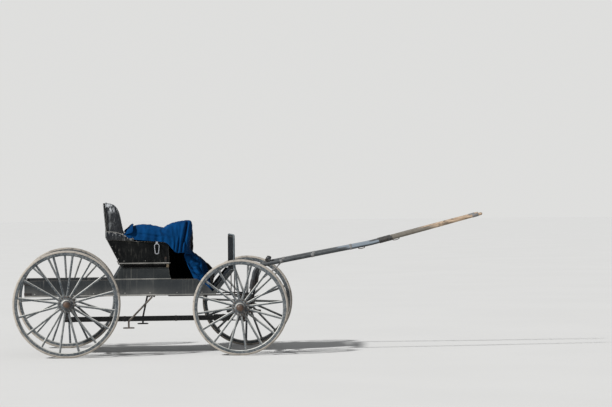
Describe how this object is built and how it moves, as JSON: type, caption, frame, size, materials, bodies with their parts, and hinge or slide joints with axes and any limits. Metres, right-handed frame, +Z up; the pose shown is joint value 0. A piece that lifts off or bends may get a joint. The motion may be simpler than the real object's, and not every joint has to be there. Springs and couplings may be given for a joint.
{
  "type": "open horse-drawn buggy",
  "caption": "Open four-wheeled driving buggy with a raised seat box, padded lazy back, dash, dished spoked wheels, leaf springs, turning front gear and a pair of shafts.",
  "frame": {"origin": "on the ground, in the middle of the overall length, on the body's centre line", "axes": "+X forward, +Y to the buggy's left, +Z up"},
  "size_m": [4.5901, 1.633, 1.458],
  "materials": {
    "body_paint": "dusty charcoal paint on planks",
    "black_leather": "worn glossy black leather",
    "robe_cloth": "blue woven cloth with a black lining",
    "wheel_wood": "weathered grey-blue paint",
    "hub": "weathered paint with rusty bands",
    "tyre": "solid rubber in a channel, covered in pale dust",
    "gear_wood": "dusty charcoal paint",
    "gear_iron": "black paint, dusty and rusty at the edges",
    "shaft_wood": "charcoal paint, bare tan wood towards the tips",
    "bright_steel": "bright bent steel rod"
  },
  "bodies": {
    "body": {"body_irons": "gear_iron", "dash": "black_leather", "fifth_wheel_upper": "gear_iron", "floor": "body_paint", "front_spring": "gear_iron", "front_spring_bar": "gear_wood", "harness_loop": "bright_steel", "head_block": "gear_wood", "king_bolt": "gear_iron", "lap_robe": "robe_cloth", "lazy_back_board": "body_paint", "lazy_back_pad": "black_leather", "lazy_back_wing_left": "black_leather", "lazy_back_wing_right": "black_leather", "reach": "gear_wood", "reach_straps": "gear_iron", "rear_axle": "gear_iron", "rear_spring": "gear_iron", "rear_spring_bar": "gear_wood", "seat_back_board": "body_paint", "seat_bottom": "body_paint", "seat_cushion": "black_leather", "seat_end_left": "body_paint", "seat_end_right": "body_paint", "seat_riser": "body_paint", "side_panel_left": "body_paint", "side_panel_right": "body_paint", "step_left": "gear_iron", "step_right": "gear_iron", "tail_panel": "body_paint", "toe_board": "body_paint"},
    "wheel_rear_right": {"wheel_rear_right_hub": "hub", "wheel_rear_right_spokes": "wheel_wood", "wheel_rear_right_tyre": "tyre"},
    "wheel_rear_left": {"wheel_rear_left_hub": "hub", "wheel_rear_left_spokes": "wheel_wood", "wheel_rear_left_tyre": "tyre"},
    "wheel_front_right": {"wheel_front_right_hub": "hub", "wheel_front_right_spokes": "wheel_wood", "wheel_front_right_tyre": "tyre"},
    "wheel_front_left": {"wheel_front_left_hub": "hub", "wheel_front_left_spokes": "wheel_wood", "wheel_front_left_tyre": "tyre"},
    "front_gear": {"front_axle": "gear_iron", "axle_cap": "gear_wood", "fifth_wheel_lower": "gear_iron"},
    "shafts": {"shaft_right": "shaft_wood", "shaft_left": "shaft_wood", "shaft_iron_right": "gear_iron", "shaft_iron_left": "gear_iron", "crossbar": "gear_wood"},
    "singletree": {"singletree": "gear_wood"}
  },
  "joints": [
    {"name": "steering", "type": "hinge", "parent": "body", "child": "front_gear", "pos_m": [-0.05714, 0, 0.386], "axis": [0, 0, 1], "range_deg": [-18, 32]},
    {"name": "rear_right_wheel", "type": "hinge", "parent": "body", "child": "wheel_rear_right", "pos_m": [-1.78714, -0.71, 0.508], "axis": [0, 1, 0], "continuous": true},
    {"name": "rear_left_wheel", "type": "hinge", "parent": "body", "child": "wheel_rear_left", "pos_m": [-1.78714, 0.71, 0.508], "axis": [0, 1, 0], "continuous": true},
    {"name": "front_right_wheel", "type": "hinge", "parent": "front_gear", "child": "wheel_front_right", "pos_m": [-0.14367, -0.70471, 0.457], "axis": [0.1219, 0.9925, 0], "continuous": true},
    {"name": "front_left_wheel", "type": "hinge", "parent": "front_gear", "child": "wheel_front_left", "pos_m": [0.02939, 0.70471, 0.457], "axis": [0.1219, 0.9925, 0], "continuous": true},
    {"name": "shafts_lift", "type": "hinge", "parent": "front_gear", "child": "shafts", "pos_m": [-0.00553, -0.00634, 0.402], "axis": [-0.1219, -0.9925, 0], "range_deg": [-31, 15]},
    {"name": "singletree_swing", "type": "hinge", "parent": "shafts", "child": "singletree", "pos_m": [0.18603, -0.02986, 0.89772], "axis": [0, 0, -1], "range_deg": [-15, 15]}
  ]
}
